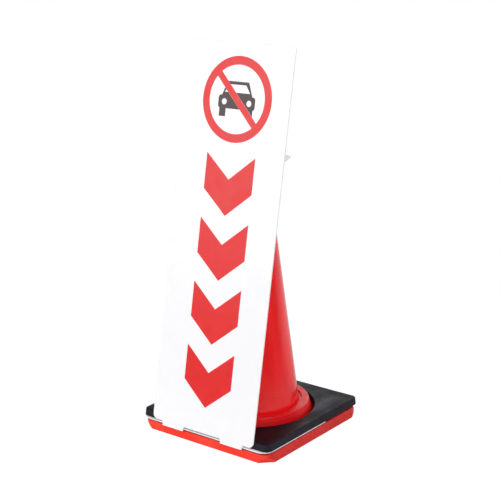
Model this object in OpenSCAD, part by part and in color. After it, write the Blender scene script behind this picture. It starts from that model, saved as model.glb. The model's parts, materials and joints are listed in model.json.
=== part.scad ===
// Sign panel on a traffic cone: the panel leans on the cone's tip and a rubber weight holds its foot sheet.

/* [Cone] */
// Height of the cone above the ground
cone_h = 700; // [500:5:840]
// Outside diameter of the cone at its tip
tip_d = 57; // [40:0.5:80]
// Outside diameter of the cone level with the ledge
foot_d = 229; // [180:1:260]
// Wall thickness of the cone
cone_wall = 3; // [2:0.1:4]
// Rounding of the rim at the tip
tip_round = 2.5; // [1:0.1:3.5]
// Wall thickness of the socket at the tip
socket_wall = 7.5; // [3:0.1:9]
// Length of the socket in the tip
socket_l = 30; // [15:1:60]
// Width of the flange that the cone carries under the ledge
flange_w = 6; // [3:0.5:12]
// Thickness of that flange
flange_t = 4; // [2:0.1:8]

/* [Base] */
// Side of the square base
base_side = 380; // [340:1:450]
// Height of the square base
base_h = 28; // [20:0.5:40]
// Corner radius of the base seen from above
base_corner = 32; // [15:1:60]
// Depth of the slanted cut off each lower corner of the base, at the ground
corner_cut = 9; // [4:0.5:12]
// Height to which those cuts reach
corner_rise = 14; // [8:0.5:18]
// Rounding of the base's upper edge
base_edge = 9; // [3:0.5:9]
// Rounding of the base's lower edge
base_foot = 3; // [1:0.5:9]
// Wall thickness of the base and its collar
base_wall = 4; // [2.5:0.1:5]
// Height of the collar above the square base
collar_h = 35.5; // [30:0.5:60]
// Width of the ledge on top of the collar, round the cone
ledge_w = 26; // [20:0.5:40]
// Widening of the collar from the ledge down to the base, on the diameter
collar_draft = 22; // [0:0.5:30]
// Rounding of the ledge's outer edge
ledge_round = 5; // [2:0.5:8]
// Width of the groove round the cone's foot
groove_w = 7; // [3:0.5:12]
// Depth of the groove round the cone's foot
groove_depth = 4; // [2:0.5:6]
// Number of ribs under the base
rib_count = 12; // [4:4:24]
// Thickness of each rib
rib_t = 3; // [2:0.1:5]
// Height of the ribs' lower edges above the ground
rib_lift = 3; // [1:0.5:8]

/* [Rubber weight] */
// Distance of the weight's lower edge inside the base's sides
weight_inset = 1; // [0:0.5:10]
// Height of the weight
weight_h = 17.5; // [12:0.5:30]
// Lean of the weight's sides, from its lower to its upper edge
weight_draft = 2; // [0:0.5:5]
// Corner radius of the weight seen from above
weight_corner = 16; // [12:1:50]
// Rounding of the weight's upper outer edge
weight_round = 3; // [1:0.5:6]
// Rounding of the weight's lower outer edge
weight_heel = 1; // [0.5:0.5:4]
// Gap between the collar's foot and the weight's hole
weight_gap = 1.5; // [1:0.5:12]
// Bevel of the hole's upper rim
weight_bevel = 2; // [1:0.5:6]

/* [Foot sheet] */
// Thickness of the foot sheet
sheet_t = 2.2; // [1.5:0.1:5]
// Distance of the sheet's sides inside the base's sides
sheet_inset = 1.5; // [0:0.5:10]
// Overhang of the sheet in front of the base
sheet_front = 5.5; // [5:0.5:15]
// Reach of the sheet's arms behind the cone's axis
arm_reach = 52; // [20:1:120]
// Radius of the sheet's front corners
sheet_corner = 28; // [10:1:50]
// Rounding of the arms' ends
arm_round = 12; // [4:0.5:18]
// Gap between the collar's foot and the sheet's cut-out
sheet_gap = 1.5; // [1:0.5:8]
// Clearance on each side of a tab in its notch
notch_gap = 1; // [0.5:0.1:3]
// Depth of the notches behind the sheet's front edge
notch_depth = 13; // [10:0.5:20]

/* [Sign panel] */
// Width of the panel
panel_w = 300; // [250:1:360]
// Height of the panel's upper edge above its fold line, along the panel
panel_l = 905; // [760:5:1100]
// Thickness of the panel
panel_t = 3; // [2:0.1:5]
// Lean of the panel from upright, in degrees
lean = 10; // [7:0.5:14]
// Radius of the panel's lower corners
panel_corner = 13; // [5:1:30]
// Radius of the panel's upper corners
crown_corner = 8; // [3:1:30]
// Distance of the fold line behind the sheet's front edge
fold_setback = 1.5; // [1.5:0.1:5]
// Distance of the panel's lower edge above its fold line
panel_lift = 1.5; // [1:0.1:8]
// Width of each tab
tab_w = 63; // [30:1:80]
// Distance of the tabs inside the panel's sides
tab_inset = 31; // [10:0.5:50]
// Length of the tabs below the fold line
tab_l = 9.1; // [5:0.1:12]
// Rounding of the tabs' corners
tab_round = 2; // [0.5:0.1:3]
// Reach of the fold beads beside the tabs, over the foot sheet
bead_reach = 3; // [3:0.5:8]
// Depth by which the fold beads stand inside the sheets' faces
bead_step = 0.2; // [0.1:0.05:0.4]

/* [Films on the panel] */
// Thickness of the films
film_t = 0.2; // [0.1:0.05:0.5]
// Distance of the films' middle to the right of the panel's middle
film_shift = 3; // [-10:0.5:10]
// Gap between films that lie side by side
film_gap = 0.4; // [0.2:0.1:1]
// Outside diameter of the ring
ring_d = 195; // [150:1:240]
// Width of the ring's band
ring_w = 19.5; // [10:0.5:30]
// Distance of the ring below the panel's upper edge
ring_inset = 30; // [15:1:60]
// Width of the slash across the ring
slash_w = 16; // [8:0.5:24]
// Slope of the slash, in degrees
slash_slope = 45; // [30:1:60]
// Width of the car's body
car_w = 104; // [80:1:116]
// Height of the car's body
car_h = 30; // [20:1:36]
// Distance of the body's lower edge below the ring's middle
car_drop = 22; // [15:1:28]
// Rounding of the body's corners
car_round = 7; // [3:0.5:10]
// Width of the cabin at its sill
sill_w = 86; // [70:1:96]
// Width of the roof
roof_w = 60; // [44:1:70]
// Height of the cabin
cabin_h = 32; // [24:1:40]
// Width of the frame round the windscreen
screen_frame = 7; // [4:0.5:10]
// Width of each wheel
wheel_w = 18; // [12:1:24]
// Height of each wheel below the body
wheel_h = 15; // [8:1:20]
// Distance of the wheels inside the body's sides
wheel_inset = 5; // [1:0.5:10]
// Diameter of the lamps
lamp_d = 14; // [8:0.5:18]
// Distance of the lamps from the car's middle
lamp_x = 35; // [25:0.5:40]
// Width of the chevrons
chevron_w = 138; // [100:1:180]
// Drop of the chevrons' arms from side to middle
chevron_drop = 56; // [30:1:80]
// Space between one chevron and the next
chevron_gap = 11; // [4:1:30]
// Space between the ring and the first chevron
legend_gap = 28; // [10:1:60]
// Height of the last chevron's point above the fold line
legend_foot = 62; // [30:1:100]

/* [Cleat and fork] */
// Width of the cleat on the panel's back
cleat_w = 220; // [160:1:240]
// Height of the cleat
cleat_l = 40; // [30:1:60]
// Thickness of the cleat
cleat_t = 3; // [2:0.1:4]
// Radius of the cleat's lower corners
cleat_corner = 8; // [3:0.5:15]
// Thickness of the tape strips behind the cleat
tape_t = 1; // [0.5:0.1:2]
// Height of each tape strip
tape_l = 12; // [8:0.5:14]
// Distance of the tape strips inside the cleat's edges
tape_inset = 4; // [1:0.5:6]
// Distance of the fork's middle plane below the cone's tip
fork_drop = 28; // [20:1:120]
// Width of the fork along its fold line
fork_w = 288; // [240:1:296]
// Width of the fork across its outer corners
fork_corner_w = 231; // [180:1:260]
// Distance of those corners behind the fold line
fork_corner_y = 70; // [50:1:85]
// Reach of the fork's prongs behind the cone's axis
fork_reach = 30; // [20:1:60]
// Width of each prong at its end
prong_w = 16; // [8:0.5:30]
// Thickness of the fork
fork_t = 3; // [2:0.1:5]
// Length cut off each side of the fork's corners
fork_blunt = 2.5; // [1:0.5:6]

/* [Clearances] */
// Gap between flat faces that lie on each other
seat_gap = 0.1; // [0.05:0.05:0.3]
// Gap round the cone where pieces encircle it
fit_gap = 0.4; // [0.3:0.05:1]
// Gap at the fold lines
fold_gap = 0.4; // [0.3:0.05:1]

/* [Hidden] */
$fn = 96;
overrun = 1;
chevron_count = 4;

ledge_z = base_h + collar_h;

function cone_r(z) = tip_d / 2 + (foot_d - tip_d) / 2 * (cone_h - z) / (cone_h - ledge_z);

groove_z = ledge_z - groove_depth;
ledge_under = groove_z - base_wall;
flange_z = ledge_under - flange_t;
flange_r = cone_r(ledge_under) + flange_w;
ledge_hole_r = cone_r(ledge_under) + fit_gap;
groove_r = ledge_hole_r + groove_w;
rim_z = cone_h - tip_round;
rim_r = cone_r(rim_z);
socket_r = tip_d / 2 - socket_wall;
socket_z = cone_h - socket_l;
neck_z = socket_z - (cone_r(socket_z) - cone_wall - socket_r);
collar_r = foot_d / 2 + ledge_w;
collar_low_r = collar_r + collar_draft / 2;
corner_reach = (base_side / 2 - base_corner) * sqrt(2) + base_corner;
cut_reach = corner_reach - corner_cut;
cut_slope = atan(corner_cut / corner_rise);
hollow_side = base_side - 2 * base_wall;
hollow_corner = (hollow_side / sqrt(2) - cut_reach + base_wall) / (sqrt(2) - 1);

sheet_z = base_h + seat_gap;
sheet_top = sheet_z + sheet_t;
sheet_y = -base_side / 2 - sheet_front;
sheet_w = base_side - 2 * sheet_inset;
cut_r = collar_low_r + sheet_gap;
arm_w = sheet_w / 2 - cut_r;
arm_r = min(arm_round, arm_w / 3);
tab_x = (panel_w - tab_w) / 2 - tab_inset;
notch_w = tab_w + 2 * notch_gap;

weight_z = sheet_top + seat_gap;
weight_side = base_side - 2 * weight_inset;
weight_hole_r = collar_low_r + weight_gap;

fold_y = sheet_y + fold_setback;
fold_z = sheet_top + fold_gap + panel_t / 2;
tab_drop = panel_lift + tab_l;
bead_l = tab_w + 2 * bead_reach;
panel_bead_d = panel_t - 2 * bead_step;
film_y = -(panel_t + film_t) / 2;

ring_up = panel_l - ring_inset - ring_d / 2;
slash_l = ring_d - ring_w;
chevron_top = ring_up - ring_d / 2 - legend_gap;
chevron_pitch = (chevron_top - legend_foot + chevron_gap) / chevron_count;
chevron_h = chevron_pitch - chevron_gap;
sill_z = car_h - car_drop;
screen_low = sill_z + screen_frame;
screen_high = sill_z + cabin_h - screen_frame;
screen_low_w = sill_w - 2 * screen_frame;
screen_high_w = roof_w - 2 * screen_frame;
lamp_z = car_h / 2 - car_drop;

cleat_off = panel_t / 2 + tape_t + cleat_t / 2;
fork_up = cone_h - fork_drop;
fork_along = (fork_up - fold_z + cleat_off * sin(lean)) / cos(lean);
fork_y = fold_y + fork_along * sin(lean) + cleat_off * cos(lean);
fork_bead_d = fork_t - 2 * bead_step;
fork_bead_l = cleat_w - 2 * cleat_corner;
fork_notch_r = cone_r(fork_up - fork_t / 2) + fit_gap;
prong_y = fork_reach - fork_y;
fork_points = [
    [fork_w / 2, 0], [fork_corner_w / 2, fork_corner_y],
    [fork_notch_r + prong_w, prong_y], [fork_notch_r, prong_y]
];
cleat_top = fork_along - fork_t / 2 - fold_gap;
tape_w = cleat_w - 2 * tape_inset;
tape_high = cleat_top - tape_inset - tape_l / 2;
tape_low = cleat_top - cleat_l + tape_inset + tape_l / 2;

// Section of a slab's rim, from the slab's inside outwards, whose side leans in by draft towards the top
module slab_section(depth, height, top_r, low_r, draft) {
    slant = sqrt(height * height + draft * draft);
    outward = [height, draft] / slant;
    low = [depth - low_r * (draft + slant) / height, low_r];
    top = [depth - (draft * (height - top_r) + slant * top_r) / height, height - top_r];
    polygon([
        [0, 0],
        [low.x, 0],
        low + low_r * outward,
        top + top_r * outward,
        [top.x, height],
        [0, height]
    ]);
    translate(low)
        circle(low_r);
    translate(top)
        circle(top_r);
}

// Square slab with round corners and rounded edges, measured at its lower edge
module slab(side, height, corner, top_r, low_r, draft) {
    inner = side / 2 - corner;
    translate([-inner, -inner, 0])
        cube([2 * inner, 2 * inner, height]);
    for (turn = [0, 90, 180, 270])
        rotate(turn)
            translate([inner, inner, 0]) {
                rotate_extrude(angle = 90)
                    slab_section(corner, height, top_r, low_r, draft);
                rotate([90, 0, 0])
                    linear_extrude(height = 2 * inner)
                        slab_section(corner, height, top_r, low_r, draft);
            }
}

// Rectangle standing on the X axis, with one radius for its lower and one for its upper corners
module plate_outline(width, height, low_r, top_r) {
    translate([-width / 2, low_r])
        square([width, height - low_r - top_r]);
    translate([low_r - width / 2, 0])
        square([width - 2 * low_r, low_r]);
    translate([top_r - width / 2, height - top_r])
        square([width - 2 * top_r, top_r]);
    for (side = [-1, 1]) {
        translate([side * (width / 2 - low_r), low_r])
            circle(low_r);
        translate([side * (width / 2 - top_r), height - top_r])
            circle(top_r);
    }
}

// Places its children in the panel's own plane, with the fold line as the X axis
module on_panel() {
    translate([0, fold_y, fold_z])
        rotate([-lean, 0, 0])
            children();
}

// Stands a flat outline upright in the panel's plane
module upright(thickness) {
    rotate([90, 0, 0])
        linear_extrude(height = thickness, center = true)
            children();
}

// Hollow under the square base, with its ribs left standing
module base_hollow() {
    hollow_h = base_h - base_wall + overrun;
    difference() {
        translate([0, 0, -overrun])
            linear_extrude(height = hollow_h)
                translate([0, -hollow_side / 2])
                    plate_outline(hollow_side, hollow_side, hollow_corner, hollow_corner);
        translate([0, 0, -2 * overrun])
            cylinder(r = collar_low_r, h = base_h + 2 * overrun);
        for (i = [0 : rib_count - 1])
            rotate((i + 0.5) * 360 / rib_count)
                translate([0, -rib_t / 2, rib_lift])
                    cube([base_side, rib_t, base_h]);
    }
}

// Slanted cuts off the base's lower corners
module corner_cuts() {
    for (turn = [45, 135, 225, 315])
        rotate(turn)
            translate([cut_reach, 0, 0])
                rotate([0, cut_slope, 0])
                    translate([0, -base_side / 2, -base_side / 2])
                        cube(base_side);
}

// Outside of the collar
module collar_form() {
    rotate_extrude() {
        polygon([
            [0, 0],
            [collar_low_r, 0],
            [collar_low_r, base_h],
            [collar_r, ledge_z - ledge_round],
            [collar_r - ledge_round, ledge_z],
            [0, ledge_z]
        ]);
        translate([collar_r - ledge_round, ledge_z - ledge_round])
            circle(ledge_round);
    }
}

// Inside of the collar, open to the ground
module collar_hollow() {
    rotate_extrude()
        polygon([
            [0, -overrun],
            [collar_low_r - base_wall, -overrun],
            [collar_low_r - base_wall, base_h],
            [collar_r - base_wall, ledge_under],
            [0, ledge_under]
        ]);
}

// Square base with the raised collar that the cone stands in
module cone_base() {
    color("red")
        difference() {
            union() {
                slab(base_side, base_h, base_corner, base_edge, base_foot, 0);
                collar_form();
            }
            corner_cuts();
            base_hollow();
            collar_hollow();
            translate([0, 0, ledge_under - overrun])
                cylinder(r = ledge_hole_r, h = ledge_z - ledge_under + 2 * overrun);
            translate([0, 0, groove_z])
                cylinder(r = groove_r, h = groove_depth + overrun);
        }
}

// Hollow cone with an open socket at its tip and a flange under the ledge
module cone_body() {
    color("red")
        rotate_extrude() {
            polygon([
                [flange_r, flange_z],
                [flange_r, ledge_under],
                [cone_r(ledge_under), ledge_under],
                [rim_r, rim_z],
                [rim_r - tip_round, cone_h],
                [socket_r, cone_h],
                [socket_r, socket_z],
                [cone_r(neck_z) - cone_wall, neck_z],
                [cone_r(flange_z) - cone_wall, flange_z]
            ]);
            translate([rim_r - tip_round, rim_z])
                circle(tip_round);
        }
}

// Square rubber ring that lies over the collar and on the foot sheet
module weight_ring() {
    color("dimgray")
        translate([0, 0, weight_z])
            difference() {
                slab(weight_side, weight_h, weight_corner, weight_round, weight_heel, weight_draft);
                translate([0, 0, -overrun])
                    cylinder(r = weight_hole_r, h = weight_h + 2 * overrun);
                translate([0, 0, weight_h - weight_bevel])
                    cylinder(r1 = weight_hole_r, r2 = weight_hole_r + weight_bevel, h = weight_bevel);
            }
}

// Front plate of the foot sheet, cut round the collar and notched for the tabs
module sheet_front_outline() {
    difference() {
        union() {
            translate([-sheet_w / 2, sheet_y + sheet_corner])
                square([sheet_w, -sheet_y - sheet_corner]);
            translate([sheet_corner - sheet_w / 2, sheet_y])
                square([sheet_w - 2 * sheet_corner, sheet_corner]);
            for (side = [-1, 1])
                translate([side * (sheet_w / 2 - sheet_corner), sheet_y + sheet_corner])
                    circle(sheet_corner);
        }
        circle(cut_r);
        for (side = [-1, 1])
            translate([side * tab_x - notch_w / 2, sheet_y - overrun])
                square([notch_w, notch_depth + overrun]);
    }
}

// Arm of the foot sheet beside the collar
module sheet_arm_outline() {
    translate([cut_r, 0])
        square([arm_w, arm_reach - arm_r]);
    translate([cut_r + arm_r, arm_reach - arm_r])
        square([arm_w - 2 * arm_r, arm_r]);
    for (x = [cut_r + arm_r, cut_r + arm_w - arm_r])
        translate([x, arm_reach - arm_r])
            circle(arm_r);
}

// Sheet between the base and the weight, open at the back
module foot_sheet() {
    color("white")
        translate([0, 0, sheet_z])
            linear_extrude(height = sheet_t) {
                sheet_front_outline();
                sheet_arm_outline();
                mirror([1, 0])
                    sheet_arm_outline();
            }
}

// Leaning panel, with two tabs that hang through the notches and a bead across each that lies on the sheet
module sign_panel() {
    color("white")
        on_panel() {
            upright(panel_t) {
                translate([0, panel_lift])
                    plate_outline(panel_w, panel_l - panel_lift, panel_corner, crown_corner);
                for (side = [-1, 1])
                    translate([side * tab_x, panel_lift])
                        mirror([0, 1])
                            tab_outline();
            }
            for (side = [-1, 1])
                translate([side * tab_x, 0, 0])
                    rotate([0, 90, 0])
                        cylinder(d = panel_bead_d, h = bead_l, center = true);
        }
}

// Tab with its free end upwards
module tab_outline() {
    translate([-tab_w / 2, 0])
        square([tab_w, tab_drop - tab_round]);
    translate([tab_round - tab_w / 2, tab_drop - tab_round])
        square([tab_w - 2 * tab_round, tab_round]);
    for (side = [-1, 1])
        translate([side * (tab_w / 2 - tab_round), tab_drop - tab_round])
            circle(tab_round);
}

// Lays a film on the panel's front
module film(up) {
    on_panel()
        translate([film_shift, film_y, up])
            upright(film_t)
                children();
}

// Red ring with its slash
module ban_ring() {
    color("red")
        film(ring_up) {
            difference() {
                circle(d = ring_d);
                circle(d = ring_d - 2 * ring_w);
            }
            rotate(-slash_slope)
                square([slash_l, slash_w], center = true);
        }
}

// Car seen from the front
module car_outline() {
    difference() {
        union() {
            translate([0, -car_drop])
                plate_outline(car_w, car_h, car_round, car_round);
            polygon([
                [-sill_w / 2, sill_z - car_round],
                [sill_w / 2, sill_z - car_round],
                [sill_w / 2, sill_z],
                [roof_w / 2, sill_z + cabin_h],
                [-roof_w / 2, sill_z + cabin_h],
                [-sill_w / 2, sill_z]
            ]);
            for (side = [-1, 1])
                translate([side * (car_w / 2 - wheel_inset - wheel_w / 2), -car_drop - wheel_h / 2])
                    square([wheel_w, wheel_h + car_round], center = true);
        }
        polygon([
            [-screen_low_w / 2, screen_low],
            [screen_low_w / 2, screen_low],
            [screen_high_w / 2, screen_high],
            [-screen_high_w / 2, screen_high]
        ]);
        for (side = [-1, 1])
            translate([side * lamp_x, lamp_z])
                circle(d = lamp_d);
    }
}

// Part of the car on one side of the slash
module car_film(side) {
    color("black")
        film(ring_up)
            intersection() {
                car_outline();
                rotate(-slash_slope)
                    translate([0, side * (ring_d + slash_w + 2 * film_gap) / 2])
                        square([2 * ring_d, ring_d], center = true);
            }
}

module car_upper() {
    car_film(1);
}

module car_lower() {
    car_film(-1);
}

// Chevron pointing down, counted from the top
module chevron(place) {
    arm_h = chevron_h - chevron_drop;
    color("red")
        film(chevron_top - place * chevron_pitch)
            polygon([
                [-chevron_w / 2, 0],
                [0, -chevron_drop],
                [chevron_w / 2, 0],
                [chevron_w / 2, -arm_h],
                [0, -chevron_h],
                [-chevron_w / 2, -arm_h]
            ]);
}

module chevron_1() {
    chevron(0);
}

module chevron_2() {
    chevron(1);
}

module chevron_3() {
    chevron(2);
}

module chevron_4() {
    chevron(3);
}

// Strip on the panel's back that the fork folds on
module cleat() {
    color("gainsboro")
        on_panel()
            translate([0, cleat_off, cleat_top - cleat_l])
                upright(cleat_t) {
                    translate([-cleat_w / 2, cleat_corner])
                        square([cleat_w, cleat_l - cleat_corner]);
                    translate([cleat_corner - cleat_w / 2, 0])
                        square([cleat_w - 2 * cleat_corner, cleat_corner]);
                    for (side = [-1, 1])
                        translate([side * (cleat_w / 2 - cleat_corner), cleat_corner])
                            circle(cleat_corner);
                }
}

// Strip of tape between the panel and the cleat
module tape(up) {
    color("silver")
        on_panel()
            translate([0, (panel_t + tape_t) / 2, up])
                cube([tape_w, tape_t, tape_l], center = true);
}

module tape_upper() {
    tape(tape_high);
}

module tape_lower() {
    tape(tape_low);
}

// Point on the way from one point to another
function towards(from, to, reach) = from + (to - from) * reach / norm(to - from);

// Outline of the fork, with its fold line as the X axis
module fork_outline() {
    difference() {
        for (side = [0, 1])
            mirror([side, 0])
                polygon([
                    [0, 0],
                    towards(fork_points[0], [0, 0], fork_blunt),
                    towards(fork_points[0], fork_points[1], fork_blunt),
                    towards(fork_points[1], fork_points[0], fork_blunt),
                    towards(fork_points[1], fork_points[2], fork_blunt),
                    towards(fork_points[2], fork_points[1], fork_blunt),
                    towards(fork_points[2], fork_points[3], fork_blunt),
                    fork_points[3],
                    [0, prong_y]
                ]);
        translate([0, -fork_y])
            circle(fork_notch_r);
        translate([-fork_notch_r, -fork_y])
            square([2 * fork_notch_r, fork_reach + overrun]);
    }
}

// Level fork that reaches from the cleat round the cone's tip
module cone_fork() {
    color("gainsboro")
        translate([0, fork_y, fork_up]) {
            linear_extrude(height = fork_t, center = true)
                fork_outline();
            rotate([0, 90, 0])
                cylinder(d = fork_bead_d, h = fork_bead_l, center = true);
        }
}

cone_base();
cone_body();
weight_ring();
foot_sheet();
sign_panel();
ban_ring();
car_upper();
car_lower();
chevron_1();
chevron_2();
chevron_3();
chevron_4();
cleat();
tape_upper();
tape_lower();
cone_fork();
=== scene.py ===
import json
import math
import bmesh
import bpy
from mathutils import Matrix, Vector, noise


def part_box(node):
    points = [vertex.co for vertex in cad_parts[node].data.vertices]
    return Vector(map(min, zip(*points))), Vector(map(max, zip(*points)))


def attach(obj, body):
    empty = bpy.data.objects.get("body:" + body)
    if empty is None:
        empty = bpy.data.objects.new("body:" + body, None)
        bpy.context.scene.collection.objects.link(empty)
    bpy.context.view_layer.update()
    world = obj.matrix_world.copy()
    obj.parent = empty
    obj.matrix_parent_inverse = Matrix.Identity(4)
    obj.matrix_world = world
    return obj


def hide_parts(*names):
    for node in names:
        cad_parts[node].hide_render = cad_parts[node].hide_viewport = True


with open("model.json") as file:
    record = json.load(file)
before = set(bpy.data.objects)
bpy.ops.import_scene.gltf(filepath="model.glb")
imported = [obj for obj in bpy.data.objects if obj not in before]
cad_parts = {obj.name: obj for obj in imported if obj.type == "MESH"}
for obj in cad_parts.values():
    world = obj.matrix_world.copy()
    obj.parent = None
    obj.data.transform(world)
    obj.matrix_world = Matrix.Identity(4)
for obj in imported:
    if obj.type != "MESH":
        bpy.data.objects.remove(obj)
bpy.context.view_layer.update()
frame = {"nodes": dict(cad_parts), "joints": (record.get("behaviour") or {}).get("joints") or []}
joints = {joint["name"]: joint for joint in frame["joints"]}


class Tint:  # one shader socket, so that sums on sockets read as plain maths
    def __init__(self, tree, socket=None):
        self.tree = tree
        self.socket = socket

    def node(self, kind, settings=None, sockets=None, out=0):  # any node: settings first, then sockets
        made = self.tree.nodes.new(kind)
        for name, value in (settings or {}).items():
            setattr(made, name, value)
        for key, value in (sockets or {}).items():
            if isinstance(value, Tint):
                self.tree.links.new(value.socket, made.inputs[key])
            else:
                made.inputs[key].default_value = value
        return Tint(self.tree, made.outputs[out] if made.outputs else None)

    def port(self, name):  # another output of the same node
        return Tint(self.tree, self.socket.node.outputs[name])

    def reckon(self, operation, first, second):
        return self.node("ShaderNodeMath", {"operation": operation}, {0: first, 1: second})

    def __add__(self, other):
        return self.reckon("ADD", self, other)

    def __radd__(self, other):
        return self.reckon("ADD", other, self)

    def __sub__(self, other):
        return self.reckon("SUBTRACT", self, other)

    def __rsub__(self, other):
        return self.reckon("SUBTRACT", other, self)

    def __mul__(self, other):
        return self.reckon("MULTIPLY", self, other)

    def __rmul__(self, other):
        return self.reckon("MULTIPLY", other, self)


def screenColour(red, green, blue):  # 0 to 255 as seen on a screen, to the linear colour of a shader
    linear = [((level / 255 + 0.055) / 1.055) ** 2.4 for level in (red, green, blue)]
    return (*linear, 1)


def grey(level):  # linear, 0 is black and 1 is white
    return (level, level, level, 1)


# A mark on a finish is noise in lumps of about "size" metres, which begins and is full at its "limits".
# It takes on a "share" of its colour, is rougher by "dull" or smoother by "shine", and adds "height".
plainMark = {"detail": 3, "stretch": (1, 1, 1), "rough": 0.55}


def startFinish(name):  # an empty material and the place on the piece, in metres
    finish = bpy.data.materials.new(name)
    finish.use_nodes = True
    finish.node_tree.nodes.clear()
    place = Tint(finish.node_tree).node("ShaderNodeTexCoord", out="Object")
    return finish, place


def axisOf(vector, letter):
    return vector.node("ShaderNodeSeparateXYZ", {}, {0: vector}, out=letter)


def between(level, low, high):  # 0 below low, 1 above high
    smooth = {"interpolation_type": "SMOOTHSTEP"}
    return level.node("ShaderNodeMapRange", smooth, {0: level, 1: low, 2: high})


def mixed(mask, first, second):
    return mask.node("ShaderNodeMix", {"data_type": "RGBA"}, {0: mask, 6: first, 7: second}, out=2)


def grain(place, mark):  # the mark's noise
    full = {**plainMark, **mark}
    spot = place.node("ShaderNodeVectorMath", {"operation": "MULTIPLY"}, {0: place, 1: full["stretch"]})
    return spot.node("ShaderNodeTexNoise", {}, {
        "Vector": spot, "Scale": 1 / full["size"], "Detail": full["detail"], "Roughness": full["rough"],
    })


def patches(place, mark):  # 1 where the mark is full
    return between(grain(place, mark), *mark["limits"])


def cells(place, size):  # the distance to the middle of the nearest cell
    return place.node("ShaderNodeTexVoronoi", {"feature": "F1"}, {"Vector": place, "Scale": 1 / size})


def closeFinish(place, height, reach, sockets):  # bump, shader and output
    bump = place.node("ShaderNodeBump", {}, {"Strength": 1.0, "Distance": reach, "Height": height})
    shader = place.node("ShaderNodeBsdfPrincipled", {}, {**sockets, "Normal": bump})
    place.node("ShaderNodeOutputMaterial", {}, {"Surface": shader})


# Moulded red: glossy plastic with soft waves, rubbed marks and a little dust
redMarks = {
    "rub": {
        "size": 0.012, "detail": 5, "stretch": (1, 1, 0.16), "rough": 0.7,
        "limits": (0.62, 0.8), "dull": 0.12,
    },
    "scratch": {"size": 0.0035, "detail": 2, "stretch": (1, 0.07, 0.6), "limits": (0.7, 0.76), "dull": 0.2},
    "scratchedArea": {"size": 0.06, "limits": (0.52, 0.66)},
    "dust": {"size": 0.02, "detail": 6, "limits": (0.4, 0.75), "tilt": (0.5, 0.95), "dull": 0.15},
    "peel": {"size": 0.0016, "detail": 2},
    "wave": {"size": 0.035, "detail": 1},
    "cloudDull": 0.05, "depth": 0.001,
}


def squareSides(place, cloud, look, upper):  # painted light and shade: a paler square as lit from the front, darker x-facing sides, a shade line under the sheet and a highlight high on the collar's side
    aside = axisOf(place.port("Normal"), "X")
    rise = axisOf(place, "Z")
    # painted light: the square takes a paler, more orange copy of the collar's red, as lit from the front
    front = mixed(cloud, look["deep"], look["bright"])
    # painted shade: a dark red band high on the front and back faces, under the sheet's overhang
    front = mixed(between(rise, *look["frontShadeBand"]), front, look["underSheetShade"])
    # painted shade: the x-facing sides take a darker copy of the square's red
    shadedSide = mixed(cloud, look["shadedSideDeep"], look["shadedSideBright"])
    # painted shade: the same dark band, a little higher, on the x-facing sides under the weight
    shadedSide = mixed(between(rise, *look["sideShadeBand"]), shadedSide, look["underSheetShade"])
    # the front and back faces keep the lit red, the x-facing sides the painted shade
    lower = mixed(between(aside * aside, *look["shadedSideTurn"]), front, shadedSide)
    # painted highlight: a paler red high on the collar's upright side, below the ledge's rounding
    upright = 1 - between(aside.port("Z"), *look["ledgeTilt"])
    upper = mixed(upright * between(rise, *look["skirtHighlightRise"]), upper, look["skirtHighlight"])
    return mixed(between(rise, look["top"] - look["fade"], look["top"] + look["fade"]), lower, upper)


def mouldedRed(name, look):
    finish, place = startFinish(name)
    marks = redMarks
    cloud = patches(place, look["cloud"])
    rub = patches(place, marks["rub"])
    scratch = patches(place, marks["scratch"]) * patches(place, marks["scratchedArea"])
    upwards = between(axisOf(place.port("Normal"), "Z"), *marks["dust"]["tilt"])
    dust = upwards * patches(place, marks["dust"])
    colour = mixed(cloud, look["deep"], look["bright"])
    if "square" in look:
        colour = squareSides(place, cloud, look["square"], colour)
    colour = mixed(rub * look["wear"], colour, look["rubbed"])
    colour = mixed(scratch * look["wear"], colour, look["rubbed"])
    colour = mixed(dust * look["dust"], colour, look["dusty"])
    peel = grain(place, marks["peel"])
    wave = grain(place, marks["wave"])
    height = peel * look["peel"] + wave * look["wave"] - scratch * look["peel"]
    rough = cloud * marks["cloudDull"] + rub * marks["rub"]["dull"] + scratch * marks["scratch"]["dull"]
    rough = rough + dust * marks["dust"]["dull"] + look["rough"]
    closeFinish(place, height, marks["depth"], {
        "Base Color": colour, "Roughness": rough, "IOR": 1.5, "Specular IOR Level": look["gloss"],
    })
    return finish


coneRed = mouldedRed("coneRed", {
    "deep": screenColour(241, 5, 14), "bright": screenColour(254, 28, 31),
    "rubbed": screenColour(244, 84, 80), "dusty": screenColour(230, 110, 104),
    "cloud": {"size": 0.04, "stretch": (1, 1, 0.16), "limits": (0.36, 0.66)},
    "wear": 0.16, "dust": 0.2, "peel": 0.008, "wave": 0.45, "rough": 0.12, "gloss": 0.5,
})
baseRed = mouldedRed("baseRed", {
    "deep": screenColour(213, 8, 15), "bright": screenColour(222, 11, 20),
    "rubbed": screenColour(244, 104, 92), "dusty": screenColour(232, 116, 106),
    "cloud": {"size": 0.11, "limits": (0.36, 0.66)},
    "square": {
        # the square's reds: painted light, paler than the collar's as lit from the front
        "deep": screenColour(249, 62, 46), "bright": screenColour(254, 75, 58),
        # the x-facing sides' reds and turn: painted shade, a darker copy of the square's red
        "shadedSideDeep": screenColour(217, 43, 39), "shadedSideBright": screenColour(223, 52, 47),
        "shadedSideTurn": (0.3, 0.8), "top": 0.028, "fade": 0.002,
        # painted highlight on the collar's upper side, its colour and heights
        "skirtHighlight": screenColour(238, 24, 34), "skirtHighlightRise": (0.0495, 0.0550), "ledgeTilt": (0.5, 0.9),
        # the dark band's colour and heights: painted shade under the sheet's overhang
        "underSheetShade": screenColour(160, 3, 8), "frontShadeBand": (0.0208, 0.0232), "sideShadeBand": (0.0238, 0.0260),
    },
    "wear": 0.2, "dust": 0.08, "peel": 0.03, "wave": 0.2, "rough": 0.24, "gloss": 0.14,
})
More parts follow.
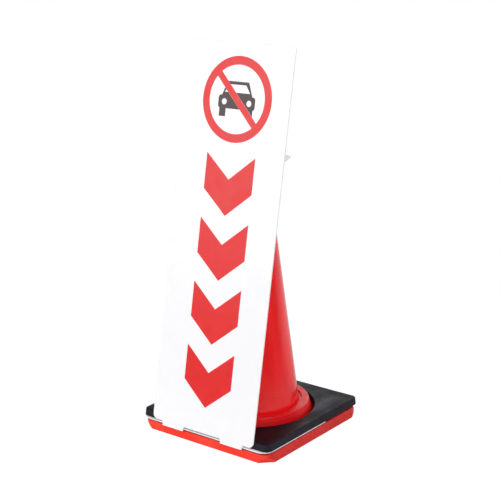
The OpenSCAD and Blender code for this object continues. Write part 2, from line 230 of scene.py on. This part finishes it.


# Recycled rubber: pressed crumbs, paler at the edges and in its specks; its sides painted paler, standing in
# for front light and sheen
def recycledRubber(name, look):
    finish, place = startFinish(name)
    blotch = patches(place, look["blotch"])
    crumb = cells(place, look["crumb"]["size"])
    speck = between(crumb.port("Color"), *look["crumb"]["limits"])
    pores = patches(place, look["pores"])
    edge = place.node("ShaderNodeNewGeometry", out="Pointiness")
    worn = between(edge, *look["worn"]["edge"]) * patches(place, look["worn"])
    wipe = patches(place, look["wipe"])
    upwards = between(axisOf(place.port("Normal"), "Z"), *look["topTilt"])
    colour = mixed(blotch, look["deep"], look["grey"])
    # painted light: faces that don't face up take the paler side colour
    colour = mixed(upwards, look["side"], colour)
    colour = mixed(speck * look["crumb"]["share"], colour, look["speck"])
    colour = mixed(worn * look["worn"]["share"], colour, look["pale"])
    colour = mixed(wipe * look["wipe"]["share"], colour, look["pale"])
    rough = look["rough"] - wipe * look["wipe"]["shine"]
    rough = rough + blotch * look["blotch"]["dull"] + pores * look["pores"]["dull"]
    height = pores + crumb * look["crumb"]["height"]
    closeFinish(place, height, look["depth"], {
        "Base Color": colour, "Roughness": rough, "IOR": 1.5,
        "Specular IOR Level": look["gloss"], "Specular Tint": look["sheen"],
    })
    return finish


rubberBlack = recycledRubber("rubberBlack", {
    # side: painted light, paler than the top as lit from the front
    "deep": screenColour(2, 2, 9), "grey": screenColour(6, 6, 17), "side": screenColour(37, 37, 43),
    "speck": screenColour(50, 50, 60), "pale": screenColour(44, 44, 57),
    "blotch": {"size": 0.05, "detail": 4, "limits": (0.35, 0.7), "dull": 0.14},
    "crumb": {"size": 0.0022, "limits": (0.86, 0.95), "share": 0.28, "height": 0.5},
    "pores": {"size": 0.00132, "detail": 5, "rough": 0.75, "limits": (0.3, 0.62), "dull": 0.06},
    "worn": {"size": 0.006, "detail": 5, "limits": (0.35, 0.7), "edge": (0.505, 0.53), "share": 0.6},
    "wipe": {
        "size": 0.03, "detail": 5, "stretch": (1, 0.25, 1), "limits": (0.45, 0.75),
        "share": 0.1, "shine": 0.14,
    },
    "topTilt": (0.35, 0.85), "rough": 0.34, "gloss": 0.092, "sheen": (0.8, 0.8, 1.0, 1), "depth": 0.00012,
})


# Satin sheet: faint drawing lines, handling smudges and a fine tooth
sheetMarks = {
    "lines": {"size": 0.004, "stretch": (1, 0.02, 0.02), "share": 0.5, "shine": 0.06, "height": 0.4},
    "smudge": {"size": 0.05, "detail": 4, "limits": (0.5, 0.78), "share": 0.35, "dull": 0.12},
    "fleck": {"size": 0.0025, "limits": (0.74, 0.8), "share": 0.12},
    "tooth": {"size": 0.0007, "detail": 2, "height": 0.6},
}


def satinSheet(name, look):
    finish, place = startFinish(name)
    marks = sheetMarks
    lines = grain(place, marks["lines"])
    smudge = patches(place, marks["smudge"])
    fleck = patches(place, marks["fleck"])
    tooth = grain(place, marks["tooth"])
    colour = mixed(lines * marks["lines"]["share"], look["white"], look["shade"])
    colour = mixed(smudge * marks["smudge"]["share"], colour, look["smudge"])
    colour = mixed(fleck * marks["fleck"]["share"], colour, look["fleck"])
    rough = look["rough"] + smudge * marks["smudge"]["dull"] - lines * marks["lines"]["shine"]
    height = tooth * marks["tooth"]["height"] + lines * marks["lines"]["height"]
    closeFinish(place, height, look["depth"], {"Base Color": colour, "Roughness": rough, "IOR": 1.46})
    return finish


sheetWhite = satinSheet("sheetWhite", {
    "white": screenColour(247, 247, 249), "shade": screenColour(242, 242, 246),
    "smudge": screenColour(238, 239, 243), "fleck": screenColour(200, 202, 208),
    "rough": 0.36, "depth": 0.00004,
})
sheetCut = satinSheet("sheetCut", {
    "white": screenColour(246, 246, 248), "shade": screenColour(236, 236, 241),
    "smudge": screenColour(228, 228, 234), "fleck": screenColour(190, 190, 198),
    "rough": 0.5, "depth": 0.0001,
})
# a grey copy of the white sheet: painted shade for the cleat and fork behind the panel
sheetPaintedShade = satinSheet("sheetPaintedShade", {
    "white": screenColour(226, 227, 231), "shade": screenColour(218, 219, 224),
    "smudge": screenColour(210, 211, 217), "fleck": screenColour(176, 178, 185),
    "rough": 0.45, "depth": 0.00006,
})


# Cut film: uneven ink under a satin skin, with a few pale nicks
filmMarks = {
    "ink": {"size": 0.03, "detail": 4, "limits": (0.35, 0.7), "share": 0.6, "dull": 0.08},
    "fine": {"size": 0.0012, "share": 0.05},
    "streak": {"size": 0.006, "stretch": (0.1, 1, 1), "share": 0.3, "height": 0.5},
    "nick": {"size": 0.0022, "limits": (0.735, 0.79), "share": 0.4, "dull": 0.2},
    "nickedArea": {"size": 0.04, "detail": 2, "limits": (0.5, 0.7)},
}


def cutFilm(name, look):
    finish, place = startFinish(name)
    marks = filmMarks
    ink = patches(place, marks["ink"])
    fine = grain(place, marks["fine"])
    streak = grain(place, marks["streak"])
    nick = patches(place, marks["nick"]) * patches(place, marks["nickedArea"])
    inked = ink * marks["ink"]["share"] + streak * marks["streak"]["share"]
    colour = mixed(inked, look["deep"], look["bright"])
    colour = mixed(fine * marks["fine"]["share"], colour, look["pale"])
    colour = mixed(nick * marks["nick"]["share"], colour, look["pale"])
    rough = look["rough"] + ink * marks["ink"]["dull"] + nick * marks["nick"]["dull"]
    height = fine + streak * marks["streak"]["height"]
    closeFinish(place, height, look["depth"], {
        "Base Color": colour, "Roughness": rough, "IOR": 1.48, "Specular IOR Level": look["gloss"],
    })
    return finish


filmRed = cutFilm("filmRed", {
    "deep": screenColour(221, 12, 16), "bright": screenColour(231, 20, 22),
    "pale": screenColour(244, 104, 100), "rough": 0.34, "gloss": 0.42, "depth": 0.00003,
})
filmDark = cutFilm("filmDark", {
    "deep": screenColour(56, 40, 39), "bright": screenColour(70, 54, 52),
    "pale": screenColour(130, 126, 122), "rough": 0.34, "gloss": 0.36, "depth": 0.00003,
})


# Foam tape: grey, with open cells
def foamTape(name, look):
    finish, place = startFinish(name)
    wall = between(cells(place, look["cell"]["size"]), *look["cell"]["limits"])
    cloud = grain(place, look["cloud"])
    colour = mixed(wall, look["pit"], look["foam"])
    colour = mixed(cloud * look["cloud"]["share"], colour, look["pale"])
    rough = look["rough"] + cloud * look["cloud"]["dull"]
    closeFinish(place, wall, look["depth"], {"Base Color": colour, "Roughness": rough})
    return finish


tapeGrey = foamTape("tapeGrey", {
    "foam": screenColour(196, 199, 204), "pit": screenColour(120, 124, 130),
    "pale": screenColour(226, 228, 232), "rough": 0.75, "depth": 0.0002,
    "cell": {"size": 0.0007, "limits": (0.15, 0.6)},
    "cloud": {"size": 0.01, "detail": 4, "share": 0.3, "dull": 0.15},
})
print("finishes:", len(bpy.data.materials), "materials")


def linkMesh(name, mesh):  # mesh data to an object of the scene
    data = bpy.data.meshes.new(name)
    mesh.to_mesh(data)
    mesh.free()
    made = bpy.data.objects.new(name, data)
    bpy.context.scene.collection.objects.link(made)
    return made


def addPiece(name, mesh, finishes, body, node):  # a piece that rides on its body
    piece = linkMesh(name, mesh)
    for finish in finishes:
        piece.data.materials.append(finish)
    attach(piece, body)
    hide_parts(node)


def shadeByAngle(mesh, degrees):  # smooth everywhere but over sharper edges
    bmesh.ops.recalc_face_normals(mesh, faces=mesh.faces)
    for face in mesh.faces:
        face.smooth = True
    for edge in mesh.edges:
        edge.smooth = edge.calc_face_angle(0) < math.radians(degrees)


def bridge(mesh, rings, finishIndex=0):  # faces from each closed ring of points to the next
    for lower, upper in zip(rings, rings[1:]):
        for k in range(len(lower)):
            face = mesh.faces.new((lower[k - 1], lower[k], upper[k], upper[k - 1]))
            face.material_index = finishIndex


def unevenness(point, size):  # 0 to 1, in lumps of about that size
    return 0.5 + 0.5 * noise.noise(point / size)


def atHeight(z):
    return Vector((0, 0, z))


def turned(x, y, angle):  # a flat point turned about the middle
    return (x * math.cos(angle) - y * math.sin(angle), x * math.sin(angle) + y * math.cos(angle))


def arc(centre, radius, start, end, steps):  # points from one angle to another, in degrees
    angles = [math.radians(start + (end - start) * i / steps) for i in range(steps + 1)]
    return [(centre[0] + radius * math.cos(a), centre[1] + radius * math.sin(a)) for a in angles]


sheetShape = {"edge": 0.0003, "sharpFrom": 30, "cornerSteps": 10}  # what all sheets share


def roundedOutline(corners):  # corners are (x, y, radius), and plain points are (x, y)
    steps = sheetShape["cornerSteps"]
    outline = []
    for i, corner in enumerate(corners):
        here = Vector(corner[:2])
        if len(corner) < 3:
            outline.append(here)
            continue
        back = (Vector(corners[i - 1][:2]) - here).normalized()
        ahead = (Vector(corners[(i + 1) % len(corners)][:2]) - here).normalized()
        half = back.angle(ahead) / 2
        centre = here + (back + ahead).normalized() * corner[2] / math.sin(half)
        first = here + back * corner[2] / math.tan(half) - centre
        turn = (math.pi - 2 * half) * (1 if back.cross(ahead) < 0 else -1)
        outline += [centre + Vector(turned(first.x, first.y, turn * k / steps)) for k in range(steps + 1)]
    return outline


def drawnIn(outline, depth):  # the outline moved inwards, for outlines that run anticlockwise
    moved = []
    for i, here in enumerate(outline):
        back = (here - outline[i - 1]).normalized()
        ahead = (outline[(i + 1) % len(outline)] - here).normalized()
        sideA = Vector((-back.y, back.x))
        sideB = Vector((-ahead.y, ahead.x))
        moved.append(here + (sideA + sideB) * depth / (1 + sideA.dot(sideB)))
    return moved


def onLevel(x, y, z):
    return Vector((x, y, z))


def sheetMesh(corners, low, high, place):  # sheet with broken edges; its cut faces take the second finish
    mesh = bmesh.new()
    edge = sheetShape["edge"]
    outline = roundedOutline(corners)
    inner = drawnIn(outline, edge)
    layers = [(inner, low), (outline, low + edge), (outline, high - edge), (inner, high)]
    rings = [[mesh.verts.new(place(p.x, p.y, lift)) for p in points] for points, lift in layers]
    bridge(mesh, rings, finishIndex=1)
    mesh.faces.new(rings[0])
    mesh.faces.new(rings[-1])
    shadeByAngle(mesh, sheetShape["sharpFrom"])
    return mesh


# Sign panel: one sheet that leans back from its fold line, with two tabs below it
panelShape = {
    "lean": 10, "lowCorner": 0.013, "highCorner": 0.008, "thick": 0.003, "lift": 0.0015,
    "tabWidth": 0.063, "tabFromSide": 0.031, "tabLength": 0.0091, "tabCorner": 0.002,
    "beadRadius": 0.0013, "beadReach": 0.003, "beadRound": 0.0004, "beadSides": 20,
}
fold = Vector(joints["panel_tilt"]["pos_m"])
leanAngle = math.radians(panelShape["lean"])


def onPanel(x, along, out):  # along the panel from its fold, and out of its middle plane towards the back
    return fold + Vector((
        x,
        along * math.sin(leanAngle) + out * math.cos(leanAngle),
        along * math.cos(leanAngle) - out * math.sin(leanAngle),
    ))


def addBead(mesh, start, end):  # stub on the fold line, from inside a tab's edge to its rounded free end
    s = panelShape
    thick = s["beadRadius"]
    inwards = math.copysign(s["beadRound"], start - end)
    turns = [2 * math.pi * k / s["beadSides"] for k in range(s["beadSides"])]
    rings = []
    for x, radius in ((start, thick), (end + inwards, thick), (end, thick - s["beadRound"])):
        rings.append([mesh.verts.new(onPanel(x, radius * math.cos(a), radius * math.sin(a))) for a in turns])
    bridge(mesh, rings)
    mesh.faces.new(rings[0])
    mesh.faces.new(rings[-1])


def buildPanel():
    s = panelShape
    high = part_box("sign_panel")[1]
    half = high.x
    top = (high.z - fold.z - s["thick"] / 2 * math.sin(leanAngle)) / math.cos(leanAngle)
    tabOut = half - s["tabFromSide"]
    tabIn = tabOut - s["tabWidth"]
    corners = [(-half, s["lift"], s["lowCorner"])]
    for left, right in ((-tabOut, -tabIn), (tabIn, tabOut)):
        corners += [
            (left, s["lift"]), (left, -s["tabLength"], s["tabCorner"]),
            (right, -s["tabLength"], s["tabCorner"]), (right, s["lift"]),
        ]
    corners += [(half, s["lift"], s["lowCorner"])]
    corners += [(half, top, s["highCorner"]), (-half, top, s["highCorner"])]
    mesh = sheetMesh(corners, -s["thick"] / 2, s["thick"] / 2, onPanel)
    for side in (-1, 1):
        addBead(mesh, side * (tabOut - sheetShape["edge"]), side * (tabOut + s["beadReach"]))
        addBead(mesh, side * (tabIn + sheetShape["edge"]), side * (tabIn - s["beadReach"]))
    shadeByAngle(mesh, sheetShape["sharpFrom"])
    addPiece("signPanel", mesh, [sheetWhite, sheetCut], "panel", "sign_panel")
    return tabIn, tabOut


# Foot sheet: a U that lies between base and weight, notched for the tabs
footShape = {
    "corner": 0.028, "armCorner": 0.0118, "cutRadius": 0.153, "cutSteps": 72,
    "notchGap": 0.001, "notchDepth": 0.013,
}


def buildFoot(tabIn, tabOut):
    s = footShape
    low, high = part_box("foot_sheet")
    inside = tabIn - s["notchGap"]
    outside = tabOut + s["notchGap"]
    corners = [(low.x, low.y, s["corner"])]
    for left, right in ((-outside, -inside), (inside, outside)):
        corners += [
            (left, low.y), (left, low.y + s["notchDepth"]),
            (right, low.y + s["notchDepth"]), (right, low.y),
        ]
    corners += [(high.x, low.y, s["corner"]), (high.x, high.y, s["armCorner"])]
    corners += [(s["cutRadius"], high.y, s["armCorner"])]
    corners += arc((0, 0), s["cutRadius"], 0, -180, s["cutSteps"])
    corners += [(-s["cutRadius"], high.y, s["armCorner"]), (low.x, high.y, s["armCorner"])]
    mesh = sheetMesh(corners, low.z, high.z, onLevel)
    addPiece("footSheet", mesh, [sheetWhite, sheetCut], "foot", "foot_sheet")


# Cleat and fork: a strip on the panel's back, and the level plate that folds on it round the cone's tip
forkShape = {
    "foldWidth": 0.288, "wideAcross": 0.231, "wideReach": 0.07,
    "notchRadius": 0.0329, "notchSteps": 40, "prongWidth": 0.016,
    "foldCorner": 0.0016, "wideCorner": 0.004, "prongCorner": 0.006, "notchCorner": 0.0015,
    "cleatHeight": 0.04, "cleatWidth": 0.22, "cleatThick": 0.003, "cleatCorner": 0.008,
    "tapeThick": 0.001, "foldGap": 0.0019,
}
forkFold = Vector(joints["fork_lift"]["pos_m"])


def buildCleat():
    s = forkShape
    away = forkFold - fold
    top = away.y * math.sin(leanAngle) + away.z * math.cos(leanAngle) - s["foldGap"]
    half = s["cleatWidth"] / 2
    low = top - s["cleatHeight"]
    corners = [(-half, low, s["cleatCorner"]), (half, low, s["cleatCorner"]), (half, top), (-half, top)]
    front = panelShape["thick"] / 2 + s["tapeThick"]
    mesh = sheetMesh(corners, front, front + s["cleatThick"], onPanel)
    # the cleat takes the grey copy of the sheet, painted shade
    addPiece("cleatStrip", mesh, [sheetPaintedShade, sheetPaintedShade], "panel", "cleat")


def buildFork():
    s = forkShape
    low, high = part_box("cone_fork")
    prongX = s["notchRadius"] + s["prongWidth"]
    right = [
        (s["foldWidth"] / 2, forkFold.y, s["foldCorner"]),
        (s["wideAcross"] / 2, forkFold.y + s["wideReach"], s["wideCorner"]),
        (prongX, high.y, s["prongCorner"]), (s["notchRadius"], high.y, s["notchCorner"]),
    ]
    corners = right + arc((0, 0), s["notchRadius"], 0, -180, s["notchSteps"])
    corners += [(-x, y, radius) for x, y, radius in reversed(right)]
    mesh = sheetMesh(corners, low.z, high.z, onLevel)
    # the fork takes the grey copy of the sheet, painted shade from the panel
    addPiece("coneFork", mesh, [sheetPaintedShade, sheetPaintedShade], "fork", "cone_fork")


tabSpan = buildPanel()
buildFoot(*tabSpan)
buildCleat()
buildFork()
print("sheets: panel, foot, cleat and fork")


# Cone: a spun shell whose outer wall is not quite true, as on a moulding that cooled in the air
coneShape = {
    "footRadius": 0.1145, "footHeight": 0.0635, "tipRadius": 0.0285, "wall": 0.003,
    "lip": 0.0025, "lipStart": 8, "lipSteps": 8, "socketRadius": 0.021, "socketLength": 0.03,
    "flange": 0.006, "flangeThick": 0.004, "flangeFillet": 0.0012,
    "segments": 144, "rows": 56, "sharpFrom": 40,
    "wobble": 0.0005, "wobbleSize": 0.09, "wobbleDrawn": 0.45, "footFade": 0.05, "tipFade": 0.08,
}


def buildCone():
    s = coneShape
    low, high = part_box("cone_body")
    slope = (s["footRadius"] - s["tipRadius"]) / (high.z - s["footHeight"])

    def radiusAt(z):
        return s["tipRadius"] + slope * (high.z - z)

    flangeTop = low.z + s["flangeThick"]
    flangeRadius = radiusAt(flangeTop) + s["flange"]
    lipLow = high.z - s["lip"]
    lipCentre = (radiusAt(lipLow) - s["lip"], lipLow)
    neck = high.z - s["socketLength"]
    shoulder = neck - (radiusAt(neck) - s["wall"] - s["socketRadius"])
    f = s["flangeFillet"]
    profile = [(flangeRadius - f, low.z), (flangeRadius, low.z + f), (flangeRadius, flangeTop - f)]
    profile += [(flangeRadius - f, flangeTop), (radiusAt(flangeTop) + f, flangeTop)]
    outerRows = range(len(profile), len(profile) + s["rows"])
    wallRows = [flangeTop + f + (lipLow - flangeTop - f) * i / s["rows"] for i in range(s["rows"])]
    profile += [(radiusAt(z), z) for z in wallRows]
    profile += arc(lipCentre, s["lip"], s["lipStart"], 90, s["lipSteps"])
    profile += [(s["socketRadius"] + f, high.z), (s["socketRadius"], high.z - f), (s["socketRadius"], neck)]
    innerRows = [shoulder + (low.z - shoulder) * i / s["rows"] for i in range(s["rows"] + 1)]
    profile += [(radiusAt(z) - s["wall"], z) for z in innerRows]

    mesh = bmesh.new()
    rings = []
    for row, (radius, z) in enumerate(profile):
        ring = []
        for k in range(s["segments"]):
            turn = 2 * math.pi * k / s["segments"]
            spread = Vector((math.cos(turn), math.sin(turn), 0))
            dent = 0
            if row in outerRows:  # only inwards, so the cone keeps its size
                fade = min(1, (z - flangeTop) / s["footFade"], (lipLow - z) / s["tipFade"])
                lump = unevenness(spread * radius + atHeight(z * s["wobbleDrawn"]), s["wobbleSize"])
                dent = s["wobble"] * fade * lump
            ring.append(mesh.verts.new(spread * (radius - dent) + atHeight(z)))
        rings.append(ring)
    bridge(mesh, rings + rings[:1])
    shadeByAngle(mesh, s["sharpFrom"])
    addPiece("coneShell", mesh, [coneRed], "cone", "cone_body")


# Weight: a pressed rubber ring, square outside and round inside, with slightly uneven faces
weightShape = {
    "corner": 0.016, "draft": 0.002, "topRound": 0.003, "heel": 0.001, "holeRadius": 0.153, "bevel": 0.002,
    "perSide": 36, "perCorner": 12, "across": 14, "wallRows": 4, "topSteps": 8, "heelSteps": 5,
    "boreRow": 1 / 3, "sharpFrom": 40, "uneven": 0.00025, "lump": 0.03, "flatFoot": 0.001,
}


def squareRim(half):  # points of a rounded square, each with its outward direction
    s = weightShape
    inner = half - s["corner"]
    run = [((half, -inner + 2 * inner * i / s["perSide"]), (1, 0)) for i in range(s["perSide"])]
    for i in range(s["perCorner"]):
        a = math.pi / 2 * i / s["perCorner"]
        out = (math.cos(a), math.sin(a))
        run.append(((inner + s["corner"] * out[0], inner + s["corner"] * out[1]), out))
    rim = []
    for quarter in range(4):
        turn = math.radians(90 * quarter)
        rim += [(Vector((*turned(*place, turn), 0)), Vector((*turned(*out, turn), 0))) for place, out in run]
    return rim


def buildWeight():
    s = weightShape
    low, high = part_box("weight_ring")
    tall = high.z - low.z
    slant = math.hypot(tall, s["draft"])
    leanIn = math.degrees(math.atan2(s["draft"], tall))
    heelInset = s["heel"] * (s["draft"] + slant) / tall
    browInset = (s["draft"] * (tall - s["topRound"]) + slant * s["topRound"]) / tall
    rim = squareRim(high.x + heelInset - s["heel"])
    brow = arc((-browInset, high.z - s["topRound"]), s["topRound"], 90, leanIn, s["topSteps"])
    heel = arc((-heelInset, low.z + s["heel"]), s["heel"], leanIn, -90, s["heelSteps"])
    steps = [k / s["wallRows"] for k in range(1, s["wallRows"])]
    wall = [Vector(brow[-1]).lerp(Vector(heel[0]), step) for step in steps]
    outside = brow + [tuple(point) for point in wall] + heel
    bore = [(0, low.z), (0, low.z + tall * s["boreRow"]), (0, high.z - s["bevel"]), (s["bevel"], high.z)]

    mesh = bmesh.new()
    columns = []
    for place, out in rim:
        hole = place.normalized()
        column = [hole * (s["holeRadius"] + wide) + atHeight(z) for wide, z in bore]
        side = [place + out * outwards + atHeight(z) for outwards, z in outside]
        column += [column[-1].lerp(side[0], i / s["across"]) for i in range(1, s["across"])]
        column += side
        column += [side[-1].lerp(column[0], i / s["across"]) for i in range(1, s["across"])]
        columns.append([mesh.verts.new(point) for point in column])
    bridge(mesh, columns + columns[:1])
    shadeByAngle(mesh, s["sharpFrom"])
    mesh.normal_update()
    for vertex in mesh.verts:  # only inwards, so the ring keeps its size
        if vertex.co.z > low.z + s["flatFoot"]:
            vertex.co -= vertex.normal * s["uneven"] * unevenness(vertex.co, s["lump"])
    addPiece("rubberWeight", mesh, [rubberBlack], "weight", "weight_ring")


buildCone()
buildWeight()
print("cone and weight")

cadFinishes = {
    "cone_base": baseRed, "ban_ring": filmRed, "car_upper": filmDark, "car_lower": filmDark,
    "tape_upper": tapeGrey, "tape_lower": tapeGrey,
    **{f"chevron_{i}": filmRed for i in (1, 2, 3, 4)},
}
for node, finish in cadFinishes.items():
    frame["nodes"][node].data.materials[0] = finish
print("films, tape and base finished")


# Studio: white backdrop, a dimmer room in front, a lit floor, one large soft light and two smaller ones
studio = {
    "room": 0.3, "backdropLow": 0.8, "backdropHigh": 1.8, "seenWhite": 1.0,
    "backdropFrom": (0.5, 0.85), "backdropRise": (0.05, 0.3),
    "floorReach": 1.25, "floorCells": 24, "floorFade": (0.45, 0.98),
    "floorWhite": 0.1, "floorGlow": 0.95, "floorBounce": 0.8,
    "lights": [  # name, place, size and watts
        ("keyBox", (-1.2, -2.55, 1.35), (2.4, 2.0), 57),
        ("overBox", (0.9, -0.1, 2.6), (2.0, 2.0), 10),
        ("sideBox", (1.9, -0.9, 1.6), (1.4, 1.4), 17.5),
    ],
    "aim": (0, 0, 0.45),
}


def buildFloor():
    s = studio
    mesh = bmesh.new()
    bmesh.ops.create_grid(mesh, x_segments=s["floorCells"], y_segments=s["floorCells"], size=s["floorReach"])
    floor = linkMesh("studioFloor", mesh)
    finish, place = startFinish("paleFloor")
    distance = place.node("ShaderNodeVectorMath", {"operation": "LENGTH"}, {0: place}, out="Value")
    fade = 1 - between(distance, *[share * s["floorReach"] for share in s["floorFade"]])
    matt = place.node("ShaderNodeBsdfPrincipled", {}, {
        "Base Color": grey(s["floorWhite"]), "Roughness": 1.0, "Specular IOR Level": 0.0,
        "Emission Color": grey(1), "Emission Strength": s["floorGlow"],
    })
    bounce = place.node("ShaderNodeBsdfDiffuse", {}, {"Color": grey(s["floorBounce"])})
    toCamera = place.node("ShaderNodeLightPath", out="Is Camera Ray")
    ground = place.node("ShaderNodeMixShader", {}, {0: toCamera, 1: bounce, 2: matt})
    clear = place.node("ShaderNodeBsdfTransparent")
    surface = place.node("ShaderNodeMixShader", {}, {0: fade, 1: clear, 2: ground})
    place.node("ShaderNodeOutputMaterial", {}, {"Surface": surface})
    floor.data.materials.append(finish)


def buildLights():
    for name, place, size, power in studio["lights"]:
        light = bpy.data.lights.new(name, "AREA")
        light.shape = "RECTANGLE"
        light.size, light.size_y = size
        light.energy = power
        lamp = bpy.data.objects.new(name, light)
        lamp.location = place
        lamp.visible_camera = False
        towards = Vector(studio["aim"]) - lamp.location
        lamp.rotation_euler = towards.to_track_quat("-Z", "Y").to_euler()
        bpy.context.scene.collection.objects.link(lamp)


def buildWorld():
    s = studio
    world = bpy.data.worlds.new("studioWorld")
    bpy.context.scene.world = world
    world.use_nodes = True
    world.node_tree.nodes.clear()
    start = Tint(world.node_tree)

    def glow(level):
        return start.node("ShaderNodeBackground", {}, {"Color": grey(1), "Strength": level})

    def blend(mask, first, second):
        return start.node("ShaderNodeMixShader", {}, {0: mask, 1: first, 2: second})

    ahead = axisOf(start.node("ShaderNodeTexCoord", out="Generated"), "Y")
    behind = between(ahead, *s["backdropFrom"])
    above = between(ahead.port("Z"), *s["backdropRise"])
    backdrop = blend(above, glow(s["backdropLow"]), glow(s["backdropHigh"]))
    lit = blend(behind, glow(s["room"]), backdrop)
    toCamera = start.node("ShaderNodeLightPath", out="Is Camera Ray")
    surface = blend(toCamera, lit, glow(s["seenWhite"]))
    start.node("ShaderNodeOutputWorld", {}, {"Surface": surface})


# Camera: fitted to the corners of the panel and of the base in the picture
cameraShape = {
    "azimuth": 37.26, "elevation": 15.09, "distance": 2.854, "height": 0.4337, "side": -0.0045,
    "focalPixels": 1204.0, "picturePixels": 500, "sensor": 36,
}


def buildCamera():
    s = cameraShape
    azimuth = math.radians(s["azimuth"])
    elevation = math.radians(s["elevation"])
    level = math.cos(elevation)
    back = Vector((math.sin(azimuth) * level, -math.cos(azimuth) * level, math.sin(elevation)))
    right = Vector((math.cos(azimuth), math.sin(azimuth), 0))
    data = bpy.data.cameras.new("photoCamera")
    data.sensor_width = s["sensor"]
    data.lens = s["focalPixels"] / s["picturePixels"] * s["sensor"]
    camera = bpy.data.objects.new("photoCamera", data)
    camera.location = atHeight(s["height"]) + right * s["side"] + back * s["distance"]
    camera.rotation_euler = back.to_track_quat("Z", "Y").to_euler()
    bpy.context.scene.collection.objects.link(camera)
    bpy.context.scene.camera = camera


buildFloor()
buildLights()
buildWorld()
buildCamera()
bpy.context.scene.view_settings.view_transform = "Standard"
print("studio ready")
